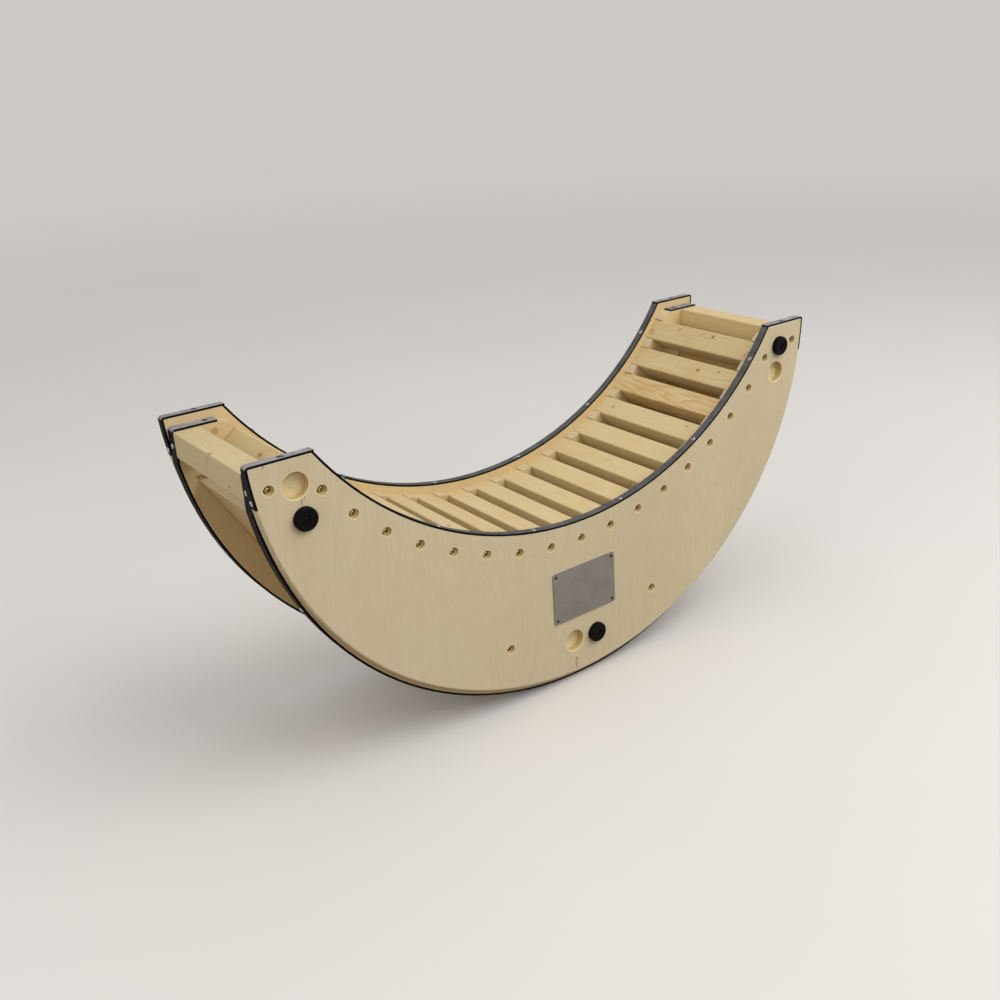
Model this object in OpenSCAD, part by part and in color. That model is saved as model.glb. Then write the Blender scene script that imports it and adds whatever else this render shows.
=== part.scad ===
// Rocking arch: a curved seat of wooden slats between doubled plywood side panels.
// X runs along the arch, Y from the front panels (-Y) to the rear panels, and Z up.
// The origin is on the floor under the middle. The outer panels carry soft edge strips, and the
// inner panels, which hold the slats in notches, reach lower and carry the tread strips.

/* [Side panels] */
// Thickness of the outer plywood panels
ply_t = 12.7; // [11.5:0.1:13.5]
// Thickness of the inner plywood panels
core_t = 18; // [15:0.5:20]
// Clear width between the two outer panels, which is the length of a slat
clear_w = 254; // [200:1:400]
// How much larger the outer panels' lower radius is than the rocking surface's
outer_extra = 1; // [0:0.5:6]
// Height of the outer panels' lower edge above the floor, at the middle
outer_lift = 13; // [10:0.5:18]
// Depth of the outer panels at the middle
outer_depth = 255; // [245:1:265]
// Radius of the outer panels' upper edge
arc_r = 509.5; // [500:0.5:520]
// Height of the outer panels' end cuts
outer_top = 491; // [485:1:497]
// How far the inner panels' end cuts lie below the outer ones
top_step = 14.5; // [10:0.5:18]
// How far the inner panels' ends are cut in, from the full width of their curve
end_trim = 6.5; // [4:0.5:12]
// Radius of the inner panels' corners beside the last slats
corner_r = 30; // [20:1:32]
// Rounding of the outer panels' lower edge
ease_r = 3; // [1:0.5:6]

/* [Edge strips] */
// Radius of the rocking surface, which is the underside of the tread strips
rocker_r = 508; // [504:0.5:512]
// Thickness of the rubber strips
strip_t = 3.2; // [2.5:0.1:5]
// Inside radius where a strip bends over an end
bend_r = 1.5; // [1:0.5:3]
// How far the outer panels' end strips reach down past the end cuts
cap_reach = 54; // [45:1:70]
// How deep the outer panels are cut back under those strips
cap_sink = 3.5; // [1:0.5:4.5]

/* [Seat] */
// Number of slats, always odd so that one lies at the middle
slat_n = 17; // [5:2:17]
// Gap between the last slats and the inner panels' rounded corners
slat_end_gap = 1; // [1:0.5:8]
// How far the slats lie below the outer panels' edge at the middle
seat_lip = 13.5; // [10:0.5:22]
// Width of a slat
slat_w = 38; // [30:0.5:40]
// Depth of a slat
slat_d = 38; // [32:0.5:42]
// Rounding of a slat's long edges
slat_ease = 2.5; // [1:0.5:5]
// Gap on each side of a slat in its notch
notch_gap = 0.6; // [0.2:0.1:1.2]

/* [Frame] */
// Side of the square end beams and lower braces
beam_s = 38; // [30:0.5:39]
// How far the end beams stand out past the inner panels
beam_proud = 2.5; // [0:0.5:4]
// Level stretch of the inner panels' ends, inside each end beam
beam_inside = 25; // [18:0.5:28]
// Distance from the middle to each lower brace
brace_x = 144.5; // [60:0.5:220]
// Height of the lower braces' centres
brace_z = 102.5; // [85:0.5:130]
// Thickness of the back boards
board_t = 12; // [9:0.5:15]
// Lean of the back boards from upright, in degrees
board_tilt = 30.3; // [28:0.1:32]
// How far above the beams' lower faces the line of each back board meets the beam's outer face
board_rise = 3; // [0:0.5:6]
// Hand gap between an end beam and its back board, along the board
board_gap = 48; // [40:1:60]
// Length of a back board along its slope
board_len = 280; // [200:5:290]
// Depth of the grooves that hold the back boards
groove_d = 6; // [4:0.5:10]
// Gap between a back board and each wall of its groove
groove_gap = 0.2; // [0.1:0.1:0.5]
// How far a groove runs past each end of its board
groove_past = 7; // [4:1:12]

/* [Docking points] */
// Distance of the higher docking point at each end from the inner panels' upright ends
dock_hi_in = 51; // [48:1:56]
// Distance of the lower one at each end from there
dock_lo_in = 57.5; // [52:0.5:62]
// Distance of the upper docking points below the outer end cuts
dock_drop = 36.5; // [33:0.5:39]
// Gap between a socket and the bumper below or above it
dock_pair_gap = 10; // [4:1:14]
// Gap between the socket and the bumper below the plate
dock_mid_gap = 9; // [2:0.5:12]
// Height of the docking points below the plate
dock_mid_z = 69.5; // [60:0.5:78]
// Radius of a socket
socket_r = 17.5; // [16.5:0.5:19]
// Bevel round a socket's mouth
socket_bevel = 1; // [0.5:0.1:2]
// Gap between a bumper and the wall of the socket it docks in
dock_gap = 1.5; // [0.5:0.1:2.5]
// How far a bumper stands out
bumper_h = 7.5; // [6:0.5:10]
// Radius of the recess in a bumper's face
bumper_recess_r = 5; // [4.75:0.25:7]
// Depth of that recess
bumper_recess_d = 3; // [2.5:0.5:3.5]
// Rounding of a bumper's rim
bumper_ease = 2; // [1:0.5:3]

/* [Long screws] */
// Distance of the slat screws from the seat's curve
slat_screw_in = 15; // [12:0.5:20]
// Length of a long screw under its head
screw_len = 60; // [50:1:70]
// Radius of a long screw's shank
screw_r = 2.2; // [1.5:0.1:2.6]
// Radius of a long screw's head
screw_head_r = 5; // [4:0.25:6]
// Height of a long screw's head
screw_head_h = 3; // [2:0.25:4]
// Radius of the counterbores
counterbore_r = 7.5; // [6.5:0.5:9]
// Depth of the counterbores
counterbore_d = 6.5; // [4:0.5:8]
// Gap round every screw in its hole
hole_gap = 0.15; // [0.1:0.05:0.3]

/* [Small screws] */
// Length of a strip or bumper screw under its head
small_len = 14; // [11:0.5:15]
// Radius of its shank
small_r = 1.6; // [1.2:0.1:2]
// Radius of its head
small_head_r = 4; // [3:0.25:4.5]
// Height of its domed head
small_head_h = 1.8; // [1.2:0.1:2.2]
// Angle between the screws of an upper edge strip
arc_screw_step = 19.5; // [17:0.5:21]
// Angle between the screws of a tread strip
tread_screw_step = 25.2; // [22:0.2:26]
// Distance of the screws in the outer end cuts from the outer corners
cap_screw_in = 45.5; // [30:1:58]
// Distance of the screws in the inner end cuts from the upright ends
inner_screw_in = 46; // [30:1:48]
// Height of the screws low in the outer end strips, above the strips' lower ends
cap_screw_up = 8.5; // [5:0.5:12]
// Depth of the screws in the tread strips' upright ends below the inner end cuts
tread_end_drop = 22; // [21.5:0.5:34]

/* [Plate and plugs] */
// Width of the metal plate
plate_w = 123; // [80:1:140]
// Height of the metal plate
plate_h = 86.5; // [60:0.5:95]
// Thickness of the metal plate
plate_t = 1.5; // [1:0.25:3]
// Radius of the plate's corners
plate_corner = 4; // [2:0.5:8]
// Distance of the plate's centre from the middle
plate_x = 1.3; // [-5:0.1:5]
// Height of the plate's centre
plate_z = 153.3; // [145:0.1:160]
// Distance from the plate's edges to its pins
pin_inset = 6; // [5:0.5:10]
// Radius of a pin's shank
pin_r = 1.2; // [0.8:0.1:1.5]
// Length of a pin in the wood
pin_len = 10; // [6:0.5:11]
// Radius of the wood plugs in the inner panels
plug_r = 5; // [4:0.5:7]
// Depth of the wood plugs
plug_d = 5; // [3:0.5:6]
// Distance of the wood plugs past the start of the inner panels' rounded corners
plug_past = 6; // [2:0.5:12]
// Depth of the wood plugs' centres below the inner end cuts
plug_drop = 12.5; // [10:0.5:16]

/* [Hidden] */
$fn = 96;
SIDE_NAMES = ["left", "right"];

// Colours, as the photo shows them
BIRCH = [0.83, 0.75, 0.60];
PINE = [0.86, 0.76, 0.52];
RUBBER = [0.28, 0.27, 0.29];
BLACK = [0.05, 0.05, 0.05];
ZINC = [0.75, 0.65, 0.38];
STEEL = [0.75, 0.76, 0.78];

// A length that reaches past any outline, and a small one that clears a face when cutting
far = 4 * rocker_r;
eps = 0.5;

// Planes across the arch: the joint between the panels and their outside faces
joint_y = clear_w / 2;
face_y = joint_y + ply_t;
inner_y = joint_y - core_t;
outer_mid_y = joint_y + ply_t / 2;
inner_mid_y = joint_y - core_t / 2;

// Radii of the panels' lower edges, and the centres of the circles, all of them on x = 0
core_r = rocker_r - strip_t;
outer_r = rocker_r + outer_extra;
cap_r = outer_r - cap_sink;
outer_cz = outer_lift + outer_r;
arc_cz = outer_lift + outer_depth + arc_r;

// Ends of the panels and of their strips
flat_x = core_r - end_trim;
inner_top = outer_top - top_step;
cap_z = outer_top - cap_reach;
cap_in_x = sqrt(pow(arc_r - strip_t, 2) - pow(arc_cz - outer_top, 2));
outer_end_x = sqrt(pow(cap_r, 2) - pow(outer_cz - outer_top, 2));

// Frame members
beam_out_x = flat_x + beam_proud;
beam_x = beam_out_x - beam_s / 2;
beam_z = inner_top - beam_s / 2;
board_from_z = inner_top - beam_s + board_rise;
board_top_z = board_from_z - board_gap * cos(board_tilt);

// The inner panels' rounded corners, and the seat's curve that runs into both of them
corner_x = beam_out_x - beam_s - beam_inside;
corner_z = inner_top - corner_r;
seat_z = outer_lift + outer_depth - seat_lip;
seat_rise = corner_z - seat_z;
seat_r = (pow(corner_x, 2) + pow(seat_rise, 2) - pow(corner_r, 2)) / (2 * (corner_r + seat_rise));
seat_cz = seat_z + seat_r;

// Slats
slat_half = (slat_n - 1) / 2;
slat_end = atan2(corner_x, seat_cz - corner_z) - asin((slat_w / 2 + slat_end_gap) / seat_r);
slat_step = slat_end / slat_half;
slat_screw_r = seat_r + slat_screw_in;

// Fasteners
screw_hole_r = screw_r + hole_gap;
small_hole_r = small_r + hole_gap;
pin_hole_r = pin_r + hole_gap;
bumper_r = socket_r - dock_gap;
bumper_floor = bumper_h - bumper_recess_d;
small_way = small_len + hole_gap;
long_way = screw_len + counterbore_d + hole_gap;

// Docking points of the front face; the rear face has the same ones turned half round
dock_hi_x = flat_x - dock_hi_in;
dock_lo_x = flat_x - dock_lo_in;
dock_hi = outer_top - dock_drop;
dock_lo = dock_hi - 2 * socket_r - dock_pair_gap;
dock_mid_x = socket_r + dock_mid_gap / 2;
front_sockets = [[-dock_hi_x, dock_hi], [dock_lo_x, dock_lo], [-dock_mid_x, dock_mid_z]];
front_bumpers = [[-dock_lo_x, dock_lo], [dock_hi_x, dock_hi], [dock_mid_x, dock_mid_z]];
frame_points = [for (s = [-1, 1]) for (p = [[beam_x, beam_z], [brace_x, brace_z]]) [s * p[0], p[1]]];
plate_pins_at = [for (sx = [-1, 1]) for (sz = [-1, 1])
    [plate_x + sx * (plate_w / 2 - pin_inset), plate_z + sz * (plate_h / 2 - pin_inset)]];

function slat_name(i) = str("slat_", i < 10 ? "0" : "", i);
function slat_angle(i) = (i - 1 - slat_half) * slat_step;
function on_circle(r, cz, a) = [r * sin(a), cz - r * cos(a)];
function screw_angles(step) = [for (i = [-2.5:1:2.5]) i * step];

// ---- Helpers -------------------------------------------------------------------------------

// An outline drawn in X and Z, made solid from y0 to y1
module slab(y0, y1) {
    translate([0, y1, 0]) rotate([90, 0, 0]) linear_extrude(y1 - y0) children();
}

// A round bar along +Y that starts at y0
module bar_y(p, y0, len, r) {
    translate([p[0], y0, p[1]]) rotate([-90, 0, 0]) cylinder(r = r, h = len);
}

// Puts its children, drawn along +Z, on the circle (r, cz) at angle a, pointing out of it
module outward(r, cz, a, y) {
    p = on_circle(r, cz, a);
    translate([p[0], y, p[1]]) rotate([0, 180 - a, 0]) children();
}

// The half turn that makes a rear piece of a front one
module rear() {
    rotate([0, 0, 180]) children();
}

module disc_2d(r, cz) {
    translate([0, cz]) circle(r = r, $fn = 360);
}

// A rectangle with rounded corners, centred
module round_rect(w, h, r) {
    square([w - 2 * r, h], center = true);
    square([w, h - 2 * r], center = true);
    for (x = [-1, 1], y = [-1, 1]) translate([x * (w / 2 - r), y * (h / 2 - r)]) circle(r = r);
}

// A disc cut level at top, with its two corners bent over at radius bend
module cut_disc(r, cz, top, bend) {
    bend_z = top - bend;
    bend_x = ceil(100 * (sqrt(r * r - pow(cz - bend_z, 2)) - bend) + 1) / 100;
    intersection() {
        disc_2d(r, cz);
        union() {
            translate([-far, bend_z - far]) square([2 * far, far]);
            translate([-bend_x, bend_z - bend]) square([2 * bend_x, 2 * bend]);
            for (s = [-1, 1]) translate([s * bend_x, bend_z]) circle(r = bend);
        }
    }
}

// The inner panels' outside outline, grown by g: a disc between two upright ends
module core_2d(g) {
    half = flat_x + g;
    top = inner_top + g;
    bend = bend_r + g;
    intersection() {
        disc_2d(core_r + g, rocker_r);
        union() {
            translate([-half, top - far]) square([2 * half, far - bend]);
            translate([-half + bend, top - far]) square([2 * (half - bend), far]);
            for (s = [-1, 1]) translate([s * (half - bend), top - bend]) circle(r = bend);
        }
    }
}

// A domed screw head of radius r and height h that stands on z = 0, with a square drive in it
module dome_head(r, h, drive) {
    ball_r = (r * r + h * h) / (2 * h);
    difference() {
        intersection() {
            translate([0, 0, h - ball_r]) sphere(r = ball_r);
            cylinder(r = r, h = h);
        }
        translate([-drive / 2, -drive / 2, h * 0.35]) cube([drive, drive, h]);
    }
}

// A long screw whose head stands on z = 0 and whose shank runs down from it
module long_screw() {
    dome_head(screw_head_r, screw_head_h, screw_head_r * 0.6);
    translate([0, 0, -screw_len + screw_r]) cylinder(r = screw_r, h = screw_len - screw_r);
    translate([0, 0, -screw_len]) cylinder(r1 = screw_r * 0.2, r2 = screw_r, h = screw_r);
}

// A short screw of the same form
module small_screw() {
    dome_head(small_head_r, small_head_h, small_head_r * 0.55);
    translate([0, 0, -small_len + small_r]) cylinder(r = small_r, h = small_len - small_r);
    translate([0, 0, -small_len]) cylinder(r1 = small_r * 0.2, r2 = small_r, h = small_r);
}

// The hole that a short screw needs, open upwards, with room for its tip
module small_hole() {
    translate([0, 0, -small_way]) cylinder(r = small_hole_r, h = small_way + strip_t);
}

// ---- Places of the short screws, for the front half ----------------------------------------

module at_arc_screws() {
    for (a = screw_angles(arc_screw_step))
        outward(arc_r - strip_t, arc_cz, a, -outer_mid_y) mirror([0, 0, 1]) children();
}

module at_tread_screws() {
    for (a = screw_angles(tread_screw_step)) outward(rocker_r, rocker_r, a, -inner_mid_y) children();
    for (s = [-1, 1])
        translate([s * (flat_x + strip_t), -inner_mid_y, inner_top - tread_end_drop])
            rotate([0, s * 90, 0]) children();
}

// The screws in the level ends are sunk flush, so that the arch also stands upside down
module at_flush_screws() {
    for (s = [-1, 1]) {
        translate([s * (outer_end_x - cap_screw_in), -outer_mid_y, outer_top + strip_t - small_head_h])
            children();
        translate([s * (flat_x - inner_screw_in), -inner_mid_y, inner_top + strip_t - small_head_h])
            children();
    }
}

module at_cap_side_screws() {
    strip_r = cap_r + strip_t;
    a = acos((outer_cz - cap_z - cap_screw_up) / strip_r);
    for (s = [-1, 1]) outward(strip_r, outer_cz, s * a, -outer_mid_y) children();
}

module flush_hole() {
    small_hole();
    cylinder(r = small_head_r + hole_gap, h = small_head_h + eps);
}

// ---- Side panels ---------------------------------------------------------------------------

// The solid of revolution that gives the outer panels' lower edge its rounding
module eased_disc() {
    translate([0, -joint_y, outer_cz]) rotate([90, 0, 0]) rotate_extrude($fn = 360) {
        square([outer_r - ease_r, ply_t]);
        translate([0, ease_r]) square([outer_r, ply_t - 2 * ease_r]);
        for (y = [ease_r, ply_t - ease_r]) translate([outer_r - ease_r, y]) circle(r = ease_r);
    }
}

module outer_blank() {
    difference() {
        union() {
            intersection() {
                eased_disc();
                slab(-face_y - eps, -joint_y + eps) translate([-far, cap_z - far]) square([2 * far, far]);
            }
            slab(-face_y, -joint_y) intersection() {
                cut_disc(cap_r, outer_cz, outer_top, bend_r);
                translate([-far, cap_z]) square([2 * far, far]);
            }
        }
        slab(-face_y - eps, -joint_y + eps) disc_2d(arc_r, arc_cz);
    }
}

module socket() {
    // A round hole with a bevelled mouth; the inner panel behind it is its floor
    rotate([-90, 0, 0]) {
        translate([0, 0, -eps]) cylinder(r = socket_r, h = ply_t + 2 * eps);
        translate([0, 0, -eps])
            cylinder(r1 = socket_r + socket_bevel + eps, r2 = socket_r, h = socket_bevel + eps);
    }
}

module screw_way(p) {
    // A counterbore in the front face and the clearance hole behind it
    bar_y(p, -face_y - eps, counterbore_d + eps, counterbore_r);
    bar_y(p, -face_y, far, screw_hole_r);
}

module outer_panel(with_plate) {
    color(BIRCH) difference() {
        outer_blank();
        for (p = front_sockets) translate([p[0], -face_y, p[1]]) socket();
        for (p = front_bumpers)
            translate([p[0], -face_y - bumper_floor, p[1]]) rotate([90, 0, 0]) small_hole();
        for (i = [1:slat_n]) screw_way(on_circle(slat_screw_r, seat_cz, slat_angle(i)));
        for (p = frame_points) screw_way(p);
        at_arc_screws() small_hole();
        at_cap_side_screws() small_hole();
        at_flush_screws() small_hole();
        if (with_plate) for (p = plate_pins_at) bar_y(p, -face_y - eps, pin_len + 2 * eps, pin_hole_r);
    }
}

module inner_outline() {
    corner = [corner_x, corner_z];
    k = seat_r / (seat_r + corner_r);
    touch = [corner_x * k, seat_cz - (seat_cz - corner_z) * k];
    difference() {
        core_2d(0);
        disc_2d(seat_r, seat_cz);
        for (s = [-1, 1]) scale([s, 1]) difference() {
            polygon([corner, [corner_x, inner_top + eps], [touch[0] - corner_r, inner_top + eps], touch]);
            translate(corner) circle(r = corner_r);
        }
        for (i = [1:slat_n]) slat_place(i) translate([-slat_w / 2 - notch_gap, -slat_d])
            square([slat_w + 2 * notch_gap, slat_d * 1.5]);
    }
}

module inner_panel() {
    color(BIRCH) difference() {
        slab(-joint_y, -inner_y) inner_outline();
        for (p = frame_points) bar_y(p, -face_y, far, screw_hole_r);
        at_tread_screws() small_hole();
        at_flush_screws() small_hole();
        for (s = [0, 1]) mirror([s, 0, 0]) board_groove();
        at_plug() cylinder(r = plug_r + hole_gap, h = plug_d + eps);
    }
}

module at_plug() {
    translate([corner_x + plug_past, -inner_y - plug_d, inner_top - plug_drop]) rotate([-90, 0, 0])
        children();
}

module plug() {
    color(PINE) at_plug() cylinder(r = plug_r, h = plug_d);
}

// ---- Seat ----------------------------------------------------------------------------------

// Puts a drawing at slat i, with its top face along the X axis
module slat_place(i) {
    a = slat_angle(i);
    translate(on_circle(seat_r, seat_cz, a)) rotate(a) children();
}

module slat(i) {
    p = on_circle(slat_screw_r, seat_cz, slat_angle(i));
    color(PINE) difference() {
        slab(-joint_y, joint_y) slat_place(i) translate([0, -slat_d / 2])
            round_rect(slat_w, slat_d, slat_ease);
        bar_y(p, -face_y, long_way, screw_hole_r);
        bar_y(p, face_y - long_way, long_way, screw_hole_r);
    }
}

// ---- Frame ---------------------------------------------------------------------------------

// A square member between the inner panels, screwed through both panels at each end
module cross_member(p) {
    color(PINE) difference() {
        slab(-inner_y, inner_y) translate(p) round_rect(beam_s, beam_s, slat_ease);
        bar_y(p, -face_y, long_way, screw_hole_r);
        bar_y(p, face_y - long_way, long_way, screw_hole_r);
    }
}

// Section of the right back board, or of its groove, grown by side and by past at its ends
module board_2d(side, past) {
    intersection() {
        translate([beam_out_x, board_from_z]) rotate(-board_tilt)
            translate([-board_t - side, -board_gap - board_len - past])
            square([board_t + 2 * side, board_len + board_t + 2 * past]);
        translate([-far, board_top_z + past - far]) square([2 * far, far]);
    }
}

module board_groove() {
    slab(-inner_y - groove_d, -inner_y + eps) board_2d(groove_gap, groove_past);
}

module back_board() {
    half = inner_y + groove_d - groove_gap;
    color(BIRCH) slab(-half, half) board_2d(0, 0);
}

// ---- Strips --------------------------------------------------------------------------------

module arc_strip() {
    color(RUBBER) difference() {
        slab(-face_y, -joint_y) intersection() {
            difference() {
                disc_2d(arc_r, arc_cz);
                disc_2d(arc_r - strip_t, arc_cz);
            }
            translate([-far, outer_top - far]) square([2 * far, far]);
        }
        at_arc_screws() small_hole();
    }
}

module cap_strip(s) {
    color(RUBBER) difference() {
        slab(-face_y, -joint_y) scale([s, 1]) intersection() {
            difference() {
                cut_disc(cap_r + strip_t, outer_cz, outer_top + strip_t, bend_r + strip_t);
                cut_disc(cap_r, outer_cz, outer_top, bend_r);
            }
            translate([cap_in_x, cap_z]) square([far, far]);
        }
        at_flush_screws() flush_hole();
        at_cap_side_screws() small_hole();
    }
}

module tread_strip() {
    color(RUBBER) difference() {
        slab(-joint_y, -inner_y) difference() {
            core_2d(strip_t);
            core_2d(0);
            translate([-corner_x, inner_top - eps]) square([2 * corner_x, strip_t + 2 * eps]);
        }
        at_flush_screws() flush_hole();
        at_tread_screws() small_hole();
    }
}

// ---- Bumpers, plate and screws -------------------------------------------------------------

module bumper(p) {
    color(BLACK) translate([p[0], -face_y, p[1]]) rotate([90, 0, 0]) difference() {
        rotate_extrude() {
            square([bumper_r - bumper_ease, bumper_h]);
            square([bumper_r, bumper_h - bumper_ease]);
            translate([bumper_r - bumper_ease, bumper_h - bumper_ease]) circle(r = bumper_ease);
        }
        translate([0, 0, bumper_floor]) cylinder(r = bumper_recess_r, h = bumper_h);
        translate([0, 0, -eps]) cylinder(r = small_hole_r, h = bumper_h);
    }
}

module bumper_screw(p) {
    translate([p[0], -face_y - bumper_floor, p[1]]) rotate([90, 0, 0]) small_screw();
}

module at_screw_seat(p) {
    translate([p[0], -face_y + counterbore_d, p[1]]) rotate([90, 0, 0]) children();
}

module slat_screws() {
    color(ZINC) for (i = [1:slat_n])
        at_screw_seat(on_circle(slat_screw_r, seat_cz, slat_angle(i))) long_screw();
}

module frame_screws() {
    color(ZINC) for (p = frame_points) at_screw_seat(p) long_screw();
}

module name_plate() {
    color(STEEL) difference() {
        slab(-face_y - plate_t, -face_y) translate([plate_x, plate_z])
            round_rect(plate_w, plate_h, plate_corner);
        for (p = plate_pins_at) bar_y(p, -face_y - plate_t - eps, plate_t + 2 * eps, pin_hole_r);
    }
}

module plate_pins() {
    color(STEEL) for (p = plate_pins_at) {
        translate([p[0], -face_y - plate_t, p[1]]) rotate([90, 0, 0]) intersection() {
            cylinder(r = 2 * pin_r, h = pin_r);
            translate([0, 0, -1.5 * pin_r]) sphere(r = 2.5 * pin_r);
        }
        bar_y(p, -face_y - plate_t, plate_t + pin_len, pin_r);
    }
}

// ---- Assembly ------------------------------------------------------------------------------

outer_panel(true);  // front_outer_panel
rear() outer_panel(false);  // rear_outer_panel
inner_panel();  // front_inner_panel
rear() inner_panel();  // rear_inner_panel

for (i = [1:slat_n]) slat(i);

for (s = [0, 1]) {
    side = SIDE_NAMES[s];
    x = 2 * s - 1;
    cross_member([x * beam_x, beam_z]);
    cross_member([x * brace_x, brace_z]);
    mirror([1 - s, 0, 0]) back_board();
    cap_strip(x);
    rear() cap_strip(-x);
    bumper(front_bumpers[s]);
    rear() bumper(front_bumpers[1 - s]);
}
bumper(front_bumpers[2]);  // front_lower_bumper
rear() bumper(front_bumpers[2]);  // rear_lower_bumper
color(STEEL) {  // bumper_screws
    for (p = front_bumpers) bumper_screw(p);
    rear() for (p = front_bumpers) bumper_screw(p);
}

arc_strip();  // front_arc_strip
rear() arc_strip();  // rear_arc_strip
tread_strip();  // front_tread_strip
rear() tread_strip();  // rear_tread_strip

slat_screws();  // front_slat_screws
rear() slat_screws();  // rear_slat_screws
frame_screws();  // front_frame_screws
rear() frame_screws();  // rear_frame_screws
color(STEEL) {  // arc_strip_screws
    at_arc_screws() small_screw();
    rear() at_arc_screws() small_screw();
}
color(STEEL) {  // cap_strip_screws
    at_flush_screws() small_screw();
    at_cap_side_screws() small_screw();
    rear() at_flush_screws() small_screw();
    rear() at_cap_side_screws() small_screw();
}
color(STEEL) {  // tread_strip_screws
    at_tread_screws() small_screw();
    rear() at_tread_screws() small_screw();
}

name_plate();
plate_pins();
union() {  // panel_plugs
    plug();
    rear() plug();
}
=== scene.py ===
# %% [markdown]
# # A wooden rocking arch
#
# The arch is two doubled plywood crescents joined by seventeen square slats. It rocks on black
# rubber strips, and it can be turned over and climbed on. The engineering model gives the places
# and sizes of all its pieces. This script gives them their wood, rubber and metal, swaps the small
# round pieces for finer ones, and lights the whole.

# %% Load the model
import math
import random
import bpy
from mathutils import Matrix, Vector


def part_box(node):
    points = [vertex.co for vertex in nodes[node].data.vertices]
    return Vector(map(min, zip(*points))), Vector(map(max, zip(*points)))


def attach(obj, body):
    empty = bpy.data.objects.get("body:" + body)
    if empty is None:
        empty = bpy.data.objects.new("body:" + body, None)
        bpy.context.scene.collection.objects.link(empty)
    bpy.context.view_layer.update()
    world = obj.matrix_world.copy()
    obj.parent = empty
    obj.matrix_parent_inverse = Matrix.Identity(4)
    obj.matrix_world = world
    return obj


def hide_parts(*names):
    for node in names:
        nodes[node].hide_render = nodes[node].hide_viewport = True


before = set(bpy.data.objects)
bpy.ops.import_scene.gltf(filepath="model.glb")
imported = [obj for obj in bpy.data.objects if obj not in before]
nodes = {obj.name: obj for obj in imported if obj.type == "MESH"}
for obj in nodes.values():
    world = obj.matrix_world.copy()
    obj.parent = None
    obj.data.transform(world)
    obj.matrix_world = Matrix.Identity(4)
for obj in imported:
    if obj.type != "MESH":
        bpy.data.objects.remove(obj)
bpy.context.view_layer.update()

# %% [markdown]
# ## The camera
#
# The camera stands at the front left, a little above the arch, and looks along its length. Its
# place was worked out from the screws, edges and round ends in the photograph. A camera looks along
# its own -Z axis, so the matrix columns are its right, its up and the way opposite to its look.

# %% Camera
CAMERA_PLACE = Vector((-0.970, -1.3297, 0.948))
YAW, PITCH, ROLL = math.radians(39.16), math.radians(20.98), math.radians(-2.23)
LENS_MM, SENSOR_MM = 39.71, 36
LENS_SHIFT = (-0.0784, -0.035)


def look_axes(yaw, pitch, roll):
    """Right, up and forward of a camera turned by yaw from +Y, down by pitch, and rolled."""
    level_reach = math.cos(pitch)
    forward = Vector((math.sin(yaw) * level_reach, math.cos(yaw) * level_reach, -math.sin(pitch)))
    level = Vector((math.cos(yaw), -math.sin(yaw), 0))
    upright = level.cross(forward)
    right = level * math.cos(roll) + upright * math.sin(roll)
    return right, upright * math.cos(roll) - level * math.sin(roll), forward


right, up, forward = look_axes(YAW, PITCH, ROLL)
camera_data = bpy.data.cameras.new("photo_camera")
camera_data.lens = LENS_MM
camera_data.sensor_width = SENSOR_MM
camera_data.shift_x, camera_data.shift_y = LENS_SHIFT
camera = bpy.data.objects.new("photo_camera", camera_data)
camera_turn = Matrix((right, up, -forward)).transposed().to_4x4()
camera.matrix_world = Matrix.Translation(CAMERA_PLACE) @ camera_turn
bpy.context.scene.collection.objects.link(camera)
bpy.context.scene.camera = camera
bpy.context.scene.view_settings.view_transform = "Standard"
print("camera at", [round(v, 3) for v in CAMERA_PLACE], "looking", [round(v, 3) for v in forward])

# %% [markdown]
# ## Writing materials as sums
#
# A wood grain is mostly arithmetic on places: how far is this point from the middle of the tree,
# and which year ring is that? Wiring such sums by hand is hard to read. The class Field stands for
# one output of a node, and its operators add the Math nodes, so that the grain can be written as
# plain Python. The class Recipe holds one material, and has one method that makes every node.

# %% Field and Recipe


class Field:
    """A value that changes over a surface, and that can be used in sums."""

    def __init__(self, recipe, socket):
        self.recipe, self.socket = recipe, socket

    def math(self, operation, *values):
        sockets = dict(enumerate(values))
        return self.recipe.node("ShaderNodeMath", {"operation": operation}, sockets)[0]

    def __add__(self, other):
        return self.math("ADD", self, other)

    def __radd__(self, other):
        return self.math("ADD", other, self)

    def __sub__(self, other):
        return self.math("SUBTRACT", self, other)

    def __rsub__(self, other):
        return self.math("SUBTRACT", other, self)

    def __mul__(self, other):
        return self.math("MULTIPLY", self, other)

    def __rmul__(self, other):
        return self.math("MULTIPLY", other, self)

    def __truediv__(self, other):
        return self.math("DIVIDE", self, other)

    def __rtruediv__(self, other):
        return self.math("DIVIDE", other, self)

    def __pow__(self, other):
        return self.math("POWER", self, other)

    def __rpow__(self, other):
        return self.math("POWER", other, self)

    def __mod__(self, other):
        return self.math("FLOORED_MODULO", self, other)

    def __abs__(self):
        return self.math("ABSOLUTE", self)


class Recipe:
    """One material, and the single method that makes its nodes."""

    def __init__(self, name, world=None):
        self.material = world or bpy.data.materials.new(name)
        self.material.use_nodes = True
        self.tree = self.material.node_tree
        self.tree.nodes.clear()

    def node(self, kind, settings=None, inputs=None):
        """Adds a node, sets it, fills its sockets with values or links, and returns its outputs."""
        node = self.tree.nodes.new(kind)
        for key, value in (settings or {}).items():
            setattr(node, key, value)
        for key, value in (inputs or {}).items():
            if isinstance(value, Field):
                self.tree.links.new(value.socket, node.inputs[key])
            else:
                node.inputs[key].default_value = value
        return [Field(self, output) for output in node.outputs]

    def finish(self, surface, output="ShaderNodeOutputMaterial"):
        self.node(output, {}, {"Surface": surface})
        return self.material


print("an expression such as 1 - mask * 0.5 now adds its own nodes")

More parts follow.
